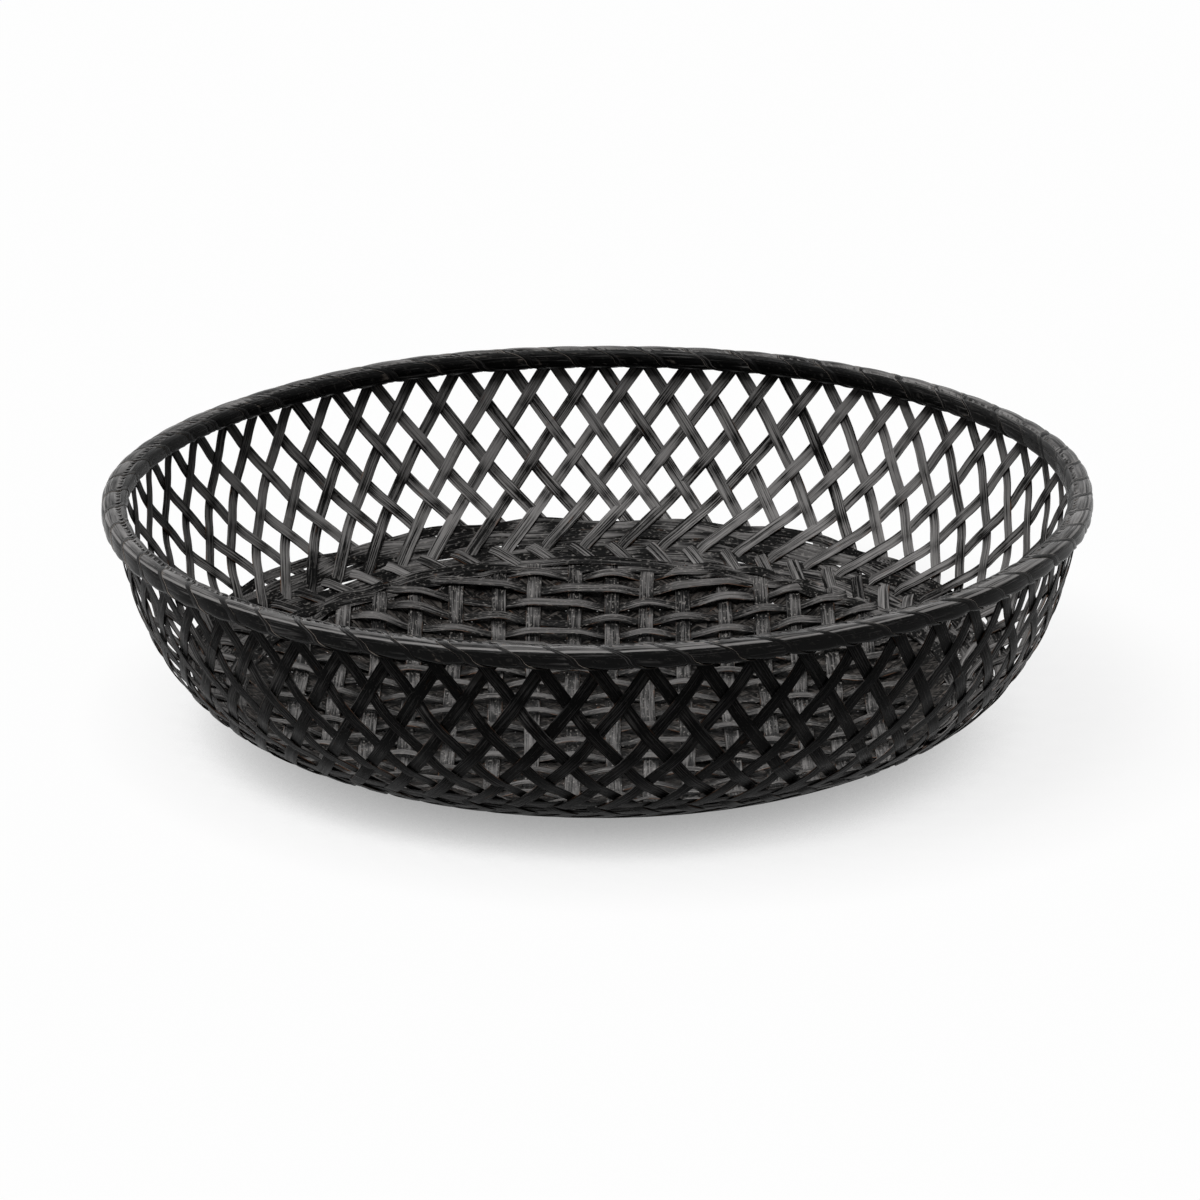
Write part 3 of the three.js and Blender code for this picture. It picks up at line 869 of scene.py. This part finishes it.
def turnMesh(name, kind):
    # one turn of the winding: a thin closed sheet round the hoops, gathered where it passes below them
    rows, columns = kind["rows"], kind["columns"]
    drawn, drawnHalf = rim["scallop"]
    points, across, along = [], [], []
    for skin in (1, 0):
        for i in range(rows + 1):
            v = mixed(*kind.get("span", (-0.03, 1.03)), i / rows)
            spread = smoothStep(min(v, 1 - v), *rim["gather"])
            width = mixed(kind["throat"], kind["width"], spread)
            middle = (rim["starts"] * v + kind["start"]) * pitchAngle
            for k in range(columns + 1):
                u = 2 * k / columns - 1
                grow = kind["base"] + kind["tilt"] * u + kind["swell"] * (1 - u * u) * spread
                grow += kind["pucker"] * (1 - spread) * math.cos(3 * math.pi * u)
                grow -= kind.get("scallop", 0) * u * u * math.exp(-((v - drawn) / drawnHalf) ** 2)
                radius, height = sectionPoint(v, grow + skin * rim["sheet"], kind["dip"])
                angle = middle + u * width / 2 / rim["middle"][0]
                points.append(Vector((math.cos(angle) * radius, math.sin(angle) * radius, height)) * mm)
                across.append(2 * v - 1 if kind["grainRound"] else u)
                along.append((u * width / 2 if kind["grainRound"] else v * rim["girth"]) * mm)
    faces = []
    size = columns + 1
    half = (rows + 1) * size
    for i in range(rows):
        for k in range(columns):
            a = i * size + k
            faces.append((a, a + 1, a + size + 1, a + size))
            faces.append((half + a, half + a + size, half + a + size + 1, half + a + 1))
    for i in range(rows):
        a, b = i * size, i * size + columns
        faces.append((a, a + size, half + a + size, half + a))
        faces.append((b, half + b, half + b + size, b + size))
    for k in range(columns):
        a, b = k, rows * size + k
        faces.append((a, half + a, half + a + 1, a + 1))
        faces.append((b, b + 1, half + b + 1, half + b))
    mesh = bpy.data.meshes.new(name)
    mesh.from_pydata(points, [], faces)
    for label, values in (("across", across), ("along", along)):
        mesh.attributes.new(label, "FLOAT", "POINT").data.foreach_set("value", values)
    mesh.attributes.new("strand", "INT", "POINT").data.foreach_set("value", [0] * len(points))
    return mesh


turnKinds = {
    # facing bent over the hoops, pinched below at each turn of the winding
    "rimFacing": {
        "rows": 64, "columns": 10, "width": rim["broad"], "throat": rim["throat"], "start": 0.5,
        "base": 0.15, "tilt": 0.2, "swell": 0.65, "pucker": 0.3, "scallop": 1.2, "dip": 1.0,
        "grainRound": True, "copies": rim["turns"], "jitter": 0.011, "finish": facingFinish,
    },
    "rimWinding": {
        "rows": 64, "columns": 6, "width": rim["narrow"], "throat": 4.5, "start": 0.02,
        "base": 0.4, "tilt": 0.2, "swell": 0.2, "pucker": 0.1, "dip": 0.6, "grainRound": False,
        "copies": rim["turns"], "jitter": 0.011, "finish": windingFinish,
    },
    # fine stitches over the groove along the inner edge
    "rimStitches": {
        "rows": 10, "columns": 2, "width": 1.9, "throat": 1.9, "start": 0, "span": (0.405, 0.5),
        "base": 0.4, "tilt": 0.1, "swell": 0.1, "pucker": 0.0, "dip": 0.15, "grainRound": False,
        "copies": rim["turns"] * 5, "jitter": 0.003, "finish": stitchFinish,
    },
}
rimPieces = []
for name, kind in turnKinds.items():
    rimPieces.append(growPiece(name, turnMesh(name, kind), turnTree, {
        "Copies": kind["copies"], "Turn Jitter": kind["jitter"],
        "Wander": 3 * mm, "Wander Length": 0.03, "Seed": 41, "Material": kind["finish"],
    }))

hoops = {
    "width": 5.8, "thickness": 2.6, "stations": 181,
    "round": 0.9995,         # of a turn, so the ends nearly meet
    "lapInner": 0.4, "lapOuter": 2.6,    # rad, where the ends meet
}


def hoopStrands(inner):
    # one flat hoop, end to end
    side = -1 if inner else 1
    start = hoops["lapInner"] if inner else hoops["lapOuter"]
    radius = rim["middle"][0] + side * (rim["hoopGap"] / 2 + rim["hoopHalf"])
    strand = []
    for i in range(hoops["stations"]):
        angle = 2 * math.pi * hoops["round"] * i / (hoops["stations"] - 1) + start
        out = Vector((math.cos(angle), math.sin(angle), 0))
        strand.append((out * radius + Vector((0, 0, rim["middle"][1])), out))
    return [strand]


hoopPieces = []
for name, inner in (("rimHoopInner", True), ("rimHoopOuter", False)):
    hoopPieces.append(growPiece(name, guideMesh(name, hoopStrands(inner)), stripTree, {
        "Width": hoops["width"] * mm, "Thickness": hoops["thickness"] * mm, "Squareness": 0.75,
        "Section Points": 12, "Seed": 51, "Material": hoopFinish,
    }))
print("rim made")


def stands(piece, slot, *nodes):
    # the basket is one body; the nodes are the solids that a piece stands for
    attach(piece, "root")
    if nodes:
        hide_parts(*nodes)


stands(wallPieces[0], "wall_bamboo", *wallNodes)
stands(wallPieces[1], "wall_bamboo")
stands(ringPiece, "wall_bamboo", *[n for n in cadNodes if n.startswith("ring_strip")])
stands(crossPiece, "base_bamboo", *[n for n in cadNodes if n.startswith("base_cross")])
stands(straightPiece, "base_bamboo", *[n for n in cadNodes if n.startswith("base_straight")])
for piece in underPieces:
    stands(piece, "base_bamboo")
stands(hoopPieces[0], "hoop_bamboo", "rim_inner_hoop")
stands(hoopPieces[1], "hoop_bamboo", "rim_outer_hoop")
stands(rimPieces[0], "hoop_bamboo")
stands(rimPieces[1], "lashing_bamboo", "rim_lashing")
stands(rimPieces[2], "lashing_bamboo")


stage = {
    "floor": "#fafafa",
    "bounce": "#262626",     # what the floor sends back up at the basket
    "glow": 0.8,             # share of the seen floor that is plain white
    "contact": 0.075,        # m, reach of the soft shade under the basket
    "closed": 0.36,          # openness below which that shade starts
    "shade": 0.38,           # its darkest
    "floorSize": 40,
}
# a broad lamp high on the left and a smaller one in front of it that draws the highlights
lamps = {
    "broadKey": {"strength": 2.6, "angle": 45, "from": (-0.24, -0.18, 1.0)},
    "smallKey": {"strength": 0.5, "angle": 20, "from": (-0.28, -0.45, 1.0)},
}
fillStrength = 0.05    # of the world, on the object


def seenPlainly(tree):
    # 1 for what the camera, a reflection or a clear view shows, 0 for light that only scatters
    path = addNode(tree, "ShaderNodeLightPath")
    seen = path.outputs["Is Camera Ray"]
    for ray in ("Is Glossy Ray", "Is Transmission Ray"):
        seen = addNode(tree, "ShaderNodeMath", [seen, path.outputs[ray]], operation="MAXIMUM")
    return seen


def makeFloor():
    half = stage["floorSize"] / 2
    mesh = bpy.data.meshes.new("studioFloor")
    corners = [(-half, -half, 0), (half, -half, 0), (half, half, 0), (-half, half, 0)]
    mesh.from_pydata(corners, [], [(0, 1, 2, 3)])
    floor = bpy.data.objects.new("studioFloor", mesh)
    bpy.context.scene.collection.objects.link(floor)
    material = bpy.data.materials.new("mattPaper")
    material.use_nodes = True
    tree = material.node_tree
    tree.nodes.clear()
    bounce = addNode(tree, "ShaderNodeBsdfDiffuse", {"Color": hexColour(stage["bounce"])})
    paper = addNode(tree, "ShaderNodeBsdfDiffuse", {"Color": hexColour(stage["floor"])})
    near = addNode(tree, "ShaderNodeAmbientOcclusion", {"Distance": stage["contact"]}, samples=8)
    near = addNode(tree, "ShaderNodeMapRange", {
        "Value": near.outputs["AO"], "From Min": 0.0, "From Max": stage["closed"],
        "To Min": stage["shade"], "To Max": 1.0,
    })
    white = addNode(tree, "ShaderNodeEmission", {"Color": (1, 1, 1, 1), "Strength": near})
    pale = addNode(tree, "ShaderNodeMixShader", [stage["glow"], paper, white])
    both = addNode(tree, "ShaderNodeMixShader", [seenPlainly(tree), bounce, pale])
    addNode(tree, "ShaderNodeOutputMaterial", [both])
    mesh.materials.append(material)


def makeLight():
    for name, size in lamps.items():
        lamp = bpy.data.lights.new(name, "SUN")
        lamp.energy = size["strength"]
        lamp.angle = math.radians(size["angle"])
        holder = bpy.data.objects.new(name, lamp)
        holder.rotation_euler = Vector(size["from"]).to_track_quat("Z", "Y").to_euler()
        bpy.context.scene.collection.objects.link(holder)
    world = bpy.data.worlds.new("studioFill")
    world.use_nodes = True
    tree = world.node_tree
    tree.nodes.clear()
    shade = addNode(tree, "ShaderNodeBackground", {"Color": (1, 1, 1, 1), "Strength": fillStrength})
    backdrop = addNode(tree, "ShaderNodeBackground", {"Color": (1, 1, 1, 1), "Strength": 1.0})
    both = addNode(tree, "ShaderNodeMixShader", [seenPlainly(tree), shade, backdrop])
    addNode(tree, "ShaderNodeOutputWorld", [both])
    bpy.context.scene.world = world


makeFloor()
makeLight()

view = {
    "pitch": 17.55,          # degrees
    "distance": 2.7068, "lookAt": 0.1117,
    "lens": 178.5, "shiftX": 0.0025, "shiftY": -0.095,
}


def makeCamera():
    camera = bpy.data.cameras.new("photoCamera")
    camera.lens = view["lens"]
    camera.sensor_width = 36
    camera.shift_x = view["shiftX"]
    camera.shift_y = view["shiftY"]
    camera.clip_end = 100
    holder = bpy.data.objects.new("photoCamera", camera)
    pitch = math.radians(view["pitch"])
    away, up = view["distance"] * math.cos(pitch), view["distance"] * math.sin(pitch)
    holder.location = (0, -away, view["lookAt"] + up)
    holder.rotation_euler = (math.pi / 2 - pitch, 0, 0)
    bpy.context.scene.collection.objects.link(holder)
    bpy.context.scene.camera = holder


makeCamera()
bpy.context.scene.view_settings.view_transform = "Standard"
print("stage made")
